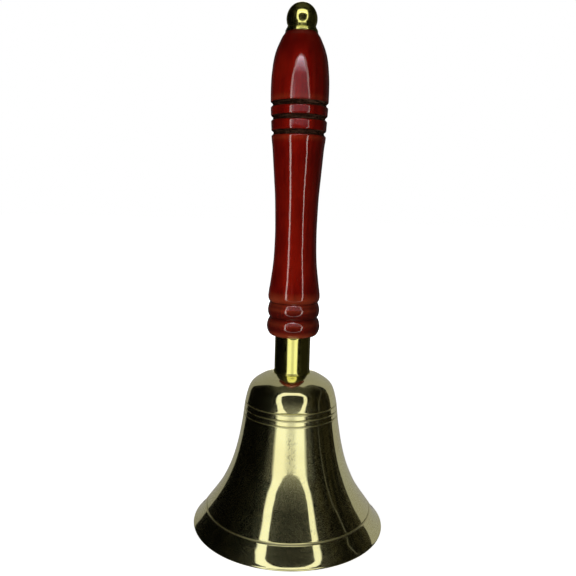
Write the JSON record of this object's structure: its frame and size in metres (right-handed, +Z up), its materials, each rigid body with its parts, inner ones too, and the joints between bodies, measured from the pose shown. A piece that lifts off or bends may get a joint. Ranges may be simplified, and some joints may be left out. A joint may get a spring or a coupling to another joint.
{
  "type": "hand bell",
  "caption": "Brass hand bell with a flared cup, turned red wooden handle, brass ferrule and finial, and a clapper that swings on a wire link inside.",
  "frame": {"origin": "on the bell's axis, in the plane of its mouth", "axes": "+Z up the bell and handle axis; the bolt's eye and the clapper's eye lie in the XZ plane, so the clapper swings mainly towards +X and -X"},
  "size_m": [0.082, 0.082, 0.2175],
  "materials": {
    "cast_brass": "polished cast brass, pale yellow with fine turning lines and light tarnish",
    "turned_brass": "bright turned brass, smooth and lacquered",
    "red_wood": "dark red stained hardwood under glossy lacquer",
    "zinc_steel": "dull zinc-plated steel",
    "dark_iron": "dark forged and turned mild steel, lightly oiled"
  },
  "bodies": {
    "root": {"bell_cup": "cast_brass", "inner_washer": "zinc_steel", "lock_washer": "zinc_steel", "crown_nut": "zinc_steel", "tie_rod": "zinc_steel", "ferrule": "turned_brass", "handle": "red_wood", "finial_washer": "turned_brass", "finial": "turned_brass"},
    "clapper_link": {"clapper_link": "dark_iron"},
    "clapper": {"clapper_shank": "dark_iron", "clapper_ball": "dark_iron"}
  },
  "joints": [
    {"name": "link_swing", "type": "hinge", "parent": "root", "child": "clapper_link", "pos_m": [0, 0, 0.0511], "axis": [1, 0, 0], "range_deg": [-6, 6]},
    {"name": "clapper_swing", "type": "hinge", "parent": "clapper_link", "child": "clapper", "pos_m": [0, 0, 0.04458], "axis": [0, 1, 0], "range_deg": [-31.5, 31.5]}
  ]
}
